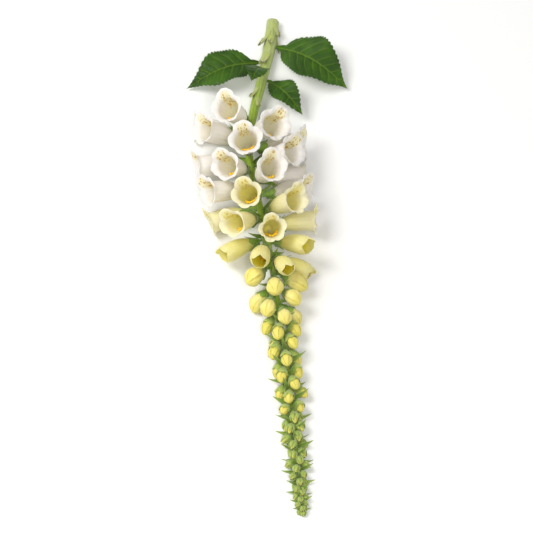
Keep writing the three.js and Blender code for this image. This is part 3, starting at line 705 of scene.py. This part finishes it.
# Buds
bud = {
    "laps": (68, 140),  # degrees from the upper side where a lobe laps over the next one above it
    "lapSlant": 0.35,  # radians that a lap's edge turns round the bud from the foot to the tip
    "lapRise": 0.09, "lapGroove": 0.12, "ribs": 0.02, "ribCount": 11,  # shares of the radius
    "blunt": 0.1, "greenTaper": 0.32,  # how much a yellow bud swells to its end, and a green one narrows
    "chin": 0.16,  # how far the tip leans to the upper side, in shares of the radius
    "foot": 0.1,  # share of a small bud's length that its stalk's cup hides
    "tippedWidth": 0.88, "greenWidth": 0.84,  # share of the girth that is left inside the sepals
}


# A green bud narrows to its tip as a smooth step. The others swell before their blunt end as a half sine.
def endShape(floret, share):
    if floret.place >= greenFrom:
        return 1 - bud["greenTaper"] * smooth(share, 0.35, 1)
    return 1 + bud["blunt"] * np.sin(math.pi * np.clip(2 * share - 1, 0, 1))


# A closed bud. Its girth is a blunt egg. Towards the tip each folded lobe laps over the one above it: its
# edge stands up and falls off behind as an exponential, with a sharper groove in front. The tip leans
# towards the upper side. It starts so many mm and such a share of its length from the floret's foot.
def budPetals(floret, start, fromShare, width, rows, columns):
    share = (fromShare + (0.995 - fromShare) * np.linspace(0, 1, rows) ** 0.8)[:, None]
    angle = np.arange(columns)[None] / columns * tau
    fromUpper = np.abs((angle + math.pi) % tau - math.pi)
    closing = smooth(share, 0.1, 0.85)
    rise, groove = 0, 0.35 * np.exp(-(fromUpper / 0.14) ** 2)
    for lap in np.radians(bud["laps"]):
        past = fromUpper - lap - bud["lapSlant"] * (closing - 0.5)
        rise = rise + np.where(past > 0, np.exp(-np.abs(past) / 0.35), 0)
        groove = groove + np.where(past > 0, 0, np.exp(-np.abs(past) / 0.13))
    radius = width * girthOf(floret.radius, False, share)
    radius = radius * (1 + closing * (bud["lapRise"] * rise - bud["lapGroove"] * groove))
    radius = radius * (1 + bud["ribs"] * np.sin(bud["ribCount"] * angle + floret.place))
    radius = radius * endShape(floret, share)
    out = heading(floret.upper, floret.left, np.broadcast_to(angle, radius.shape))
    lean = bud["chin"] * floret.radius * smooth(share, 0.55, 1)
    middle = floret.foot + floret.axis * (start + share * floret.length)[..., None]
    loops = middle + floret.upper * lean[..., None] + out * radius[..., None]
    loops[..., 2] = np.maximum(loops[..., 2], 0.02)
    tip = floret.foot + floret.axis * (start + floret.length) + floret.upper * bud["chin"] * floret.radius
    foot = floret.foot + floret.axis * (start + fromShare * floret.length * 0.9)
    # Crease depth: the mask for the deeper yellow tint and the painted shade in the folds.
    creaseTintAndShade = np.clip(closing * groove, 0, 1)
    return closeLoops(loops, triple(angle * radius, share * floret.length, 0), triple(creaseTintAndShade, share, 0),
                      foot, tip)


for index, floret in enumerate(florets[yellowFrom:tippedFrom]):
    name = numbered("yellow_bud", index + 1)
    petals = budPetals(floret, bell["start"], 0.02, 1, rows=26, columns=60)
    addPiece("petals_" + name, [petals], [yellowBudPetal], [name])

tippedPetals = [budPetals(floret, 0, bud["foot"], bud["tippedWidth"], rows=20, columns=44)
                for floret in florets[tippedFrom:greenFrom]]
addPiece("tippedBuds", tippedPetals, [tippedBudPetal], ["stem"])
greenPetals = [budPetals(floret, 0, bud["foot"], bud["greenWidth"], rows=12, columns=24)
               for floret in florets[greenFrom:]]
addPiece("greenBuds", greenPetals, [greenBudPetal], ["stem"])
print(f"buds: {tippedFrom - yellowFrom} yellow, {len(tippedPetals)} tipped, {len(greenPetals)} green")


# Sepals, stalks and bracts
calyx = {
    "halfTurn": 45, "greenHalfTurn": 40,  # degrees round the floret from a sepal's middle to its edge
    "wall": 0.5, "lap": 0.3, "clear": 0.35,  # mm. clear: from the petals to the sepals
    "firstAt": 1.2, "smallFirstAt": 0.3,  # mm from the floret's foot to where sepals start
    "covers": ((32, 0.5), (42, 0.6), (50, 0.78), (58, 0.94), (66, 1.03)),  # place, sepal's share of a bud
    "stalkedTip": (2.6, 0.8), "tippedTip": (4, 0.6), "greenTip": (3.2, 0.8),  # powers of the outline
}
pedicel = {
    "sunk": 0.4,  # how deep in the stem it starts, in shares of the stem's radius
    "thickness": ((0, 1.45), (31, 1.15), (88, 0.5)),  # place, and radius in mm
    "swell": 0.35,  # how much thicker it is at the stem
    "cup": 0.27, "smallCup": 0.42, "cupFrom": 0.72,  # the cup's share of the radius, and where it begins
    "points": 12, "sides": 12,
}
bract = {
    "width": 0.33, "bend": 0.35, "keel": 0.45,  # shares of its length and, for the keel, of its half width
    "wall": 0.4, "edge": 0.03,  # mm
    "roll": 0.8,  # radians that one at the stem's side is rolled
    "young": (45, 75), "tipGain": 0.3,  # places between which bracts get narrower, and their gain in length
}


# Five sepals that wrap the foot of the petals, each with one edge over its neighbour. Half a sepal's width
# is an arc that closes at its tip as a power of the share. Its tip flicks out as a higher power.
def sepals(floret, rows=14, columns=11):
    t, x = np.linspace(0, 1, rows)[:, None], np.linspace(-1, 1, columns)[None]
    c = calyx
    stalked, green = floret.place < tippedFrom, floret.place >= greenFrom
    power, roundness = c["stalkedTip"] if stalked else c["greenTip"] if green else c["tippedTip"]
    first = c["firstAt"] if stalked else c["smallFirstAt"]
    parts = []
    for k in range(5):
        draw = chance(floret.place, 50 + k)
        cover = np.interp(floret.place, *np.transpose(c["covers"])) * floret.length
        reach = floret.sepal * (0.94 - 0.06 * draw) if stalked else cover * (1 + 0.05 * draw)
        distance = first + t * (reach - first)
        if stalked:
            share = (distance - bell["start"]) / floret.length
            girth = girthOf(floret.radius, floret.opened, share)
            clear = np.maximum(girth, pedicel["cup"] * floret.radius) * 1.03
            middle = petalMiddle(floret, distance - bell["start"])
            flick = (1.4 if floret.opened else 0.3) * (1 + 0.5 * draw) * t ** 4
        else:
            share = distance / floret.length
            clear = girthOf(floret.radius, False, 0.03 + 0.97 * share) * 0.93 * endShape(floret, share)
            lean = bud["chin"] * floret.radius * smooth(share, 0.55, 1)
            middle = floret.foot + floret.axis * distance[..., None] + floret.upper * lean[..., None]
            flick = (0.5 + 0.3 * draw if green else 0.2) * t ** 6
        halfTurn = c["greenHalfTurn" if green else "halfTurn"] * (1 - t ** power) ** roundness
        halfTurn = np.radians(halfTurn + 1)
        angle = tau * k / 5 + x * halfTurn + 0.06 * draw
        lap = c["lap"] * (1 if stalked else 0.8) * x * (1 - t ** 6)
        crown = (0.45 if green else 0.2) * (1 - x ** 2)
        radius = clear + c["clear"] + lap + flick + crown
        out = heading(floret.upper, floret.left, angle)
        wall = c["wall"] * (1 - 0.6 * x ** 4) * (1 if stalked else 0.8) + 0 * t
        top = middle + out * (radius + 0.4)[..., None]
        top[..., 2] = np.maximum(top[..., 2], wall + 0.02)
        parts.append(closeSheet(top, out, wall, triple(x * halfTurn * radius + 9 * k, distance, 0),
                                triple(np.abs(x) ** 2, t, draw)))
    return parts


# A pedicel: a cubic with two handles that leaves the stem steeply and turns into the floret's own direction,
# and widens into the cup that holds the petals.
def stalk(floret):
    p = pedicel
    small = floret.place >= tippedFrom
    reach = floret.stalk + floret.stemRadius * p["sunk"]
    a = floret.stemMiddle + floret.outward * floret.stemRadius * p["sunk"]
    d = floret.foot + floret.axis * (0.6 if small else 1.0)
    b = a + (floret.outward * 0.5 + floret.stemAhead * 0.45) * reach
    c = d - floret.axis * reach * 0.45
    t = np.linspace(0, 1, p["points"])[:, None]
    path = a * (1 - t) ** 3 + b * 3 * t * (1 - t) ** 2 + c * 3 * t ** 2 * (1 - t) + d * t ** 3
    thin = np.interp(floret.place, *np.transpose(p["thickness"]))
    cup = p["smallCup"] * floret.radius if small else p["cup"] * 1.06 * floret.radius + 0.5
    s = t[:, 0]
    widening = np.clip((s - p["cupFrom"]) / (1 - p["cupFrom"]), 0, 1) ** 2
    radii = thin * (1 + p["swell"] * (1 - s) ** 3) + (cup - thin) * widening
    return tubeAlong(path, radii, p["sides"], 0, (0, 0.35, chance(floret.place, 6)))


# A bract: a lance whose half width is a powered sine, folded along its middle. It bends back towards the cut
# end, and one at the stem's side rolls its face up.
def bractBlade(floret, rows=18, columns=9):
    f = floret
    t, x = np.linspace(0, 1, rows)[:, None], np.linspace(-1, 1, columns)[None]
    young = smooth(f.place, *bract["young"])
    reach = f.bract * (1 + bract["tipGain"] * young)
    across = np.cross(f.outward, f.stemAhead)
    half = reach * bract["width"] * (1 - 0.2 * young) / 2
    half = half * np.sin(math.pi * (0.1 + 0.9 * t) ** 0.62) ** 0.85 * (1 - 0.25 * t) + bract["edge"]
    back = 1.5 + reach * bract["bend"] * (1 - 0.6 * young) * t ** 1.8
    roll = bract["roll"] * across[2] + 0.3 * chance(f.place, 7)
    side = across * math.cos(roll) - f.stemAhead * math.sin(roll)
    out = f.stemRadius * 0.6 + (reach + f.stemRadius * 0.4) * t
    middle = f.stemMiddle + f.outward * out[..., None] - f.stemAhead * back[..., None]
    middle = middle + across * (0.12 * f.bract * chance(f.place, 8) * t ** 2)[..., None]
    keel = bract["keel"] * half * (1 - np.abs(x) ** 1.3)
    top = middle + side * (half * x)[..., None] - f.stemAhead * keel[..., None]
    top[..., 2] = np.maximum(top[..., 2], 0.5)
    wall = bract["wall"] * (1 - 0.5 * x ** 4) + 0 * t
    return closeSheet(top, np.broadcast_to(f.stemAhead, top.shape), wall, triple(half * x, t * f.bract, 0),
                      triple(np.abs(x), t, chance(f.place, 9)))


addPiece("calyces", [part for f in florets[:tippedFrom] for part in sepals(f) + [stalk(f)]],
         [calyxGreen], ["stem"])
addPiece("budSepals", [part for f in florets[tippedFrom:] for part in sepals(f, 11, 9) + [stalk(f)]],
         [budSepalGreen], ["stem"])
addPiece("bracts", [bractBlade(f) for f in florets], [bractGreen], ["stem"])
print("calyces, bud sepals and bracts: made")


# The stem's surface: its radius follows the table, with ridges that wind slowly round it. The cut end is
# torn, so its rim is uneven and its face dips.
def stemSurface():
    nearEnd = np.linspace(0, stem["endLength"], stem["endRows"])[:-1]
    rows = np.linspace(stem["endLength"], stemLength, stem["rows"] - len(nearEnd))
    rows = np.concatenate([nearEnd, rows])
    line = stemFrame(rows)
    rows = rows[:, None]
    angle = np.arange(stem["columns"])[None] / stem["columns"] * tau
    ridge = np.cos(stem["ridges"] * (angle + 0.004 * rows) + 0.6 * np.sin(rows / 23))
    ridge = np.sign(ridge) * np.abs(ridge) ** 0.7
    depth = np.interp(rows, *np.transpose(stem["ridgeDepths"]))
    radius = line.radius[:, None] * (1 + depth * ridge) * (1 - 0.02 * np.sin(rows / 9))
    out = heading(line.up[:, None], line.side[:, None], angle)
    torn = 0.9 * np.sin(5 * angle + 1) + 0.6 * np.sin(11 * angle + 2) + 0.4 * np.sin(23 * angle)
    torn = 0.55 * np.exp(-rows / 1.5) * torn
    loops = line.middle[:, None] + out * radius[..., None] + line.ahead[:, None] * torn[..., None]
    loops[..., 2] = np.maximum(loops[..., 2], 0)
    share = np.interp(rows, *np.transpose(stem["tones"]))
    cut, tip = stemFrame(0), stemFrame(stemLength)
    return closeLoops(loops, triple(angle * radius, rows, 0), triple(0.6 * (1 - ridge) / 2, share, -0.5),
                      cut.middle + cut.ahead, tip.middle + tip.ahead)


# The torn end: rings from the rim in to a hollow of soft pith, pushed in and out by sines round the ring.
def cutFace(columns=54):
    cut = stemFrame(0)
    angle = np.arange(columns)[None] / columns * tau
    inward = np.array(stem["cutRings"])[:, None]
    rough = (0.5 * np.sin(7 * angle + 4 * inward) + 0.4 * np.sin(13 * angle + 9 * inward)) * (0.3 + inward)
    sunk = 0.35 - 0.9 * (1 - inward) ** 2 - 0.4 * rough
    face = cut.middle + heading(cut.up, cut.side, angle + 0 * inward) * (cut.radius * inward)[..., None]
    deep = face + cut.ahead * stem["cutDepth"]
    loops = np.concatenate([face - cut.ahead * sunk[..., None], deep[::-1]])
    loops[..., 2] = np.maximum(loops[..., 2], 0.05)
    return closeLoops(loops, 0 * loops, 0 * loops, slot=1)


# What is left of torn-off leaves on the lower stem. at: mm from the cut end. turn: degrees from the top of
# the stem. lean: degrees from the stem's direction at the stub's tip.
stubs = [
    {"at": 5, "turn": -58, "length": 19, "width": 15, "lean": 15},
    {"at": 16, "turn": 64, "length": 22, "width": 15, "lean": 17},
    {"at": 21, "turn": 2, "length": 17, "width": 12, "lean": 13},
    {"at": 17, "turn": -122, "length": 20, "width": 13, "lean": 18},
    {"at": 46, "turn": 24, "length": 21, "width": 14, "lean": 14},
    {"at": 96, "turn": 54, "length": 17, "width": 11, "lean": 16},
    {"at": 110, "turn": -40, "length": 15, "width": 10, "lean": 15},
]


# A torn leaf base: a strip that wraps the stem at its foot, stands off it along a parabola and ends in ragged
# points.
def stubBlade(stub, number, rows=14, columns=13):
    t, x = np.linspace(0, 1, rows)[:, None], np.linspace(-1, 1, columns)[None]
    ragged = 1 - t * (0.25 + 0.2 * np.sin(5 * x + 2 * number) + 0.16 * np.sin(13 * x + number))
    along = stub["length"] * t * ragged
    line = stemFrame(stub["at"] + along)
    half = stub["width"] / 2 * (1 - 0.35 * t)
    wrap = np.radians(stub["turn"]) + half * x / line.radius * (1 - 0.5 * t)
    out = heading(line.up, line.side, wrap)
    off = line.radius * 0.98 + along * math.tan(math.radians(stub["lean"])) * t
    top = line.middle + out * (off + 0.5 + 0.5 * np.sin(3 * x + number) * t)[..., None]
    top[..., 2] = np.maximum(top[..., 2], 3)
    wall = 0.4 + 1.5 * (1 - 0.6 * t) * (1 - 0.6 * x ** 2)
    return closeSheet(top, out, wall, triple(half * x, along, 0), triple(np.abs(x), t, chance(number, 3)), 2)


addPiece("stem_main", [stemSurface(), cutFace()] + [stubBlade(stub, k) for k, stub in enumerate(stubs)],
         [stemGreen, cutPith, tornLeafBase], ["stem"])
print("stem: made")


# Leaves. at: mm from the cut end. turn: degrees round the stem from its top. lean: degrees from the stem's
# direction. rise: how high the blade arches. drop: how far its tip sinks below its foot.
leaf = {
    "blades": [
        {"at": 34, "turn": -88, "lean": 64, "length": 96, "width": 56, "rise": 16, "drop": 5},
        {"at": 58, "turn": 92, "lean": 58, "length": 88, "width": 44, "rise": 14, "drop": 6},
        {"at": 82, "turn": -84, "lean": 50, "length": 62, "width": 30, "rise": 10, "drop": 3},
        {"at": 70, "turn": 10, "lean": 30, "length": 52, "width": 26, "rise": 12, "drop": -6},
    ],
    "gap": 0.4, "wall": 0.7, "stemSides": 8,  # what seats a leaf's foot on a flat of the stem's side
    "footShare": 0.03, "stalkShare": 0.1, "wingShare": 0.09,  # of the width, of the length, of the width
    "toothStep": 3.8, "toothDepth": 1.6, "veinStep": 10.5, "pucker": 1.1, "wave": 2.2,  # mm
}


# A blade on a winged stalk: the midrib arches as a half sine and half the width is a powered sine. The blade
# folds up along its midrib and waves along its edge, which rounded teeth line. It puckers up between side
# veins that leave the midrib at a slant and fork.
def leafBlade(blade, number, rows=170, columns=71):
    line = stemFrame(blade["at"])
    outward = heading(line.up, line.side, math.radians(blade["turn"]))
    flat = heading(line.ahead, outward, math.radians(blade["lean"]))
    up = np.array([0, 0, 1.0])
    across = unit(np.cross(flat, up))
    footHalf = blade["width"] * leaf["footShare"]
    stemSide = line.radius * math.cos(math.pi / leaf["stemSides"])
    foot = line.middle + outward * (stemSide + leaf["gap"] + leaf["wall"] / 2 * max(0, outward[2]))
    t, x = np.linspace(0.004, 0.996, rows)[:, None], np.linspace(-1, 1, columns)[None]
    wing = np.minimum(blade["width"] * leaf["wingShare"], footHalf * (1 + 25 * t)) * smooth(t, 0.6, 0.3)
    bladeShare = np.clip((t - leaf["stalkShare"]) / (1 - leaf["stalkShare"]), 0, 1)
    roundness = 0.8 + 0.5 * smooth(t, 0.6, 1)
    bladeHalf = blade["width"] / 2 * np.sin(math.pi * bladeShare ** 0.78) ** roundness
    half = np.maximum(wing, bladeHalf) + 0.1
    along = t * blade["length"]
    saw = (along / leaf["toothStep"] + 0.35 * np.sin(along / 7 + number) + 0.2 * x) % 1
    tooth = leaf["toothDepth"] * (np.abs(saw - 0.62) * 2) ** 1.3
    tooth = tooth * np.clip((t - 0.12) / 0.1, 0, 1) * np.clip(bladeHalf / 8, 0, 1)
    out = x * np.maximum(0.15, half - tooth * np.abs(x) ** 6)
    fold = np.abs(out) * 0.22 + 1.4 * x * np.sin(t * 11 + x)
    wave = leaf["wave"] * np.abs(x) ** 3 * np.sin(along / 5.2 + 1.5 * x + 2 * number)
    fold = fold + wave * np.clip(half / 12, 0, 1)
    # v counts the side veins from the foot. They slant forward, curve up to the edge and wander a little.
    wander = 0.07 * np.sin(out / 4.1 + along / 9 + number)
    v = (along - 0.62 * np.abs(out) - 0.008 * out ** 2) / leaf["veinStep"] + 0.3 * (x > 0) + wander
    fade = np.clip((t - 0.08) / 0.08, 0, 1) * np.clip(1.1 - np.abs(x), 0, 1)
    sideVein = np.exp(-((v + 0.5) % 1 - 0.5) ** 2 / 0.003) * fade
    forks = (v * 2 + 0.5 * np.abs(x) + 0.5) % 1 - 0.5
    forkVein = 0.45 * np.exp(-forks ** 2 / 0.006) * smooth(np.abs(x), 0.35, 0.6) * fade
    midrib = np.exp(-(out / (0.4 + 0.8 * (1 - t))) ** 2)
    vein = np.maximum(np.maximum(sideVein * 0.8, forkVein), midrib)
    pucker = leaf["pucker"] * np.abs(np.sin(math.pi * (v % 1))) ** 0.7 * (1 - midrib) * (1 - x ** 6)
    height = blade["rise"] * np.sin(math.pi * t) - blade["drop"] * t ** 2
    height = height + fold + pucker * np.clip(half / 6, 0, 1)
    top = foot + flat * along[..., None] + across * out[..., None] + up * height[..., None]
    wall = 0.5 + 0.7 * midrib * (1 - t) - 0.2 * np.abs(x) ** 4
    return closeSheet(top, np.broadcast_to(up, top.shape), wall, triple(out + 70 * number, along, 0),
                      triple(0, vein, 0))


for index, blade in enumerate(leaf["blades"]):
    name = numbered("leaf", index + 1)
    addPiece("blade_" + name, [leafBlade(blade, index)], [leafGreen], [name])
print("leaves: made")


# Down
down = {
    "patches": [
        # piece, what it grows on, how many hairs, their length in mm, and the seed of their draws
        ("stemDown", ["stem_main"], 6000, 0.9, 11),
        ("calyxDown", ["calyces", "bracts"], 10000, 0.9, 12),
        ("budDown", ["budSepals"], 14000, 0.8, 13),
    ],
    "radius": 0.05, "root": 0.15, "stray": 0.25,  # mm: at the foot, into the skin, off its polygon's middle
    "bend": 0.35, "lie": (0, -0.25, 0.1),  # how far hairs lean at random, and how all of them lean
    "bareFrom": 5,  # y in mm past which the cut end has no down
}


# Fine hairs, each a three-sided spike on a point drawn from the surfaces of other pieces, in proportion to
# their area.
def addDown(name, sources, count, length, seed):
    rng = np.random.default_rng(seed)
    centres, normals, areas = [], [], []
    for source in sources:
        polygons = bpy.data.objects[source].data.polygons
        centre, normal = np.zeros(len(polygons) * 3), np.zeros(len(polygons) * 3)
        area = np.zeros(len(polygons))
        polygons.foreach_get("center", centre)
        polygons.foreach_get("normal", normal)
        polygons.foreach_get("area", area)
        centres.append(centre.reshape(-1, 3))
        normals.append(normal.reshape(-1, 3))
        areas.append(area)
    centres, normals = np.vstack(centres) * 1000, np.vstack(normals)
    areas = np.concatenate(areas) * (centres[:, 1] < down["bareFrom"])
    picked = rng.choice(len(areas), count, p=areas / areas.sum())
    normal = normals[picked]
    lean = unit(normal + rng.normal(0, down["bend"], (count, 3)) + np.array(down["lie"]))
    base = centres[picked] + rng.normal(0, down["stray"], (count, 3)) - normal * down["root"]
    size = length * rng.uniform(0.5, 1.1, (count, 1))
    first = unit(np.cross(lean, np.array([0.3, 0.2, 0.9])))
    second = np.cross(lean, first)
    ring = [base + down["radius"] * heading(first, second, k * tau / 3) for k in range(3)]
    points = np.stack(ring + [base + lean * size], 1)
    points[..., 2] = np.maximum(points[..., 2], 0.02)
    faces = np.array([(0, 2, 1), (0, 1, 3), (1, 2, 3), (2, 0, 3)])
    fans = (np.arange(count)[:, None, None] * 4 + faces).reshape(-1, 3)
    flat = points.reshape(-1, 3)
    surface = SimpleNamespace(points=flat, quads=np.zeros((0, 4), int), fans=fans,
                              way=flat * 0, kind=flat * 0, slot=0)
    addPiece(name, [surface], [downSkin], ["stem"])


for patch in down["patches"]:
    addDown(*patch)
print("down: made")


# The table, the light and the camera, in metres and degrees
view = {
    "elevation": 60, "distance": 3.0, "centre": (-0.006, -0.311, 0.02),
    "wide": 0.562,  # how much it sees from side to side at that distance
    "sensor": 36,  # mm
    "nearest": 0.1, "farthest": 50,
}
lights = [
    # name, place, aim, size in m, power in W
    ("key", (-0.9, -0.2, 1.5), (0, -0.3, 0), 0.8, 20),
    ("front", (0.25, -1.6, 2.2), (0, -0.3, 0), 0.6, 20),
]
sky = {"colour": "#f6f7f9", "strength": 0.56}
table = {"half": 4, "colour": "#f1f0ed", "roughness": 0.85}


# Painted board: matt, and only a trace off white.
def addTable():
    half = table["half"]
    mesh = bpy.data.meshes.new("table")
    corners = [(-half, -half, 0), (half, -half, 0), (half, half, 0), (-half, half, 0)]
    mesh.from_pydata(corners, [], [(0, 1, 2, 3)])
    top = bpy.data.objects.new("table", mesh)
    bpy.context.scene.collection.objects.link(top)
    values = {"Base Color": hexColour(table["colour"]), "Roughness": table["roughness"]}
    mesh.materials.append(newMaterial("paintedBoard", values)[0])


# Even light from all sides.
def addSky():
    world = bpy.data.worlds.new("studio")
    bpy.context.scene.world = world
    world.use_nodes = True
    background = world.node_tree.nodes["Background"].inputs
    background["Color"].default_value = hexColour(sky["colour"])
    background["Strength"].default_value = sky["strength"]


def addLight(name, place, aim, size, power):
    data = bpy.data.lights.new(name, "AREA")
    data.size, data.energy = size, power
    light = bpy.data.objects.new(name, data)
    light.location = place
    light.rotation_mode = "QUATERNION"
    light.rotation_quaternion = (Vector(aim) - Vector(place)).to_track_quat("-Z", "Y")
    bpy.context.scene.collection.objects.link(light)


def addCamera():
    rise = math.radians(view["elevation"])
    back = Vector((0, -math.cos(rise), math.sin(rise)))
    data = bpy.data.cameras.new("camera")
    data.sensor_width = view["sensor"]
    data.lens = view["sensor"] * view["distance"] / view["wide"]
    data.clip_start, data.clip_end = view["nearest"], view["farthest"]
    camera = bpy.data.objects.new("camera", data)
    camera.location = Vector(view["centre"]) + back * view["distance"]
    camera.rotation_mode = "QUATERNION"
    camera.rotation_quaternion = (-back).to_track_quat("-Z", "Y")
    bpy.context.scene.collection.objects.link(camera)
    bpy.context.scene.camera = camera


addTable()
addSky()
for light in lights:
    addLight(*light)
addCamera()
bpy.context.scene.view_settings.view_transform = "Standard"
print("table, lights and camera: made")
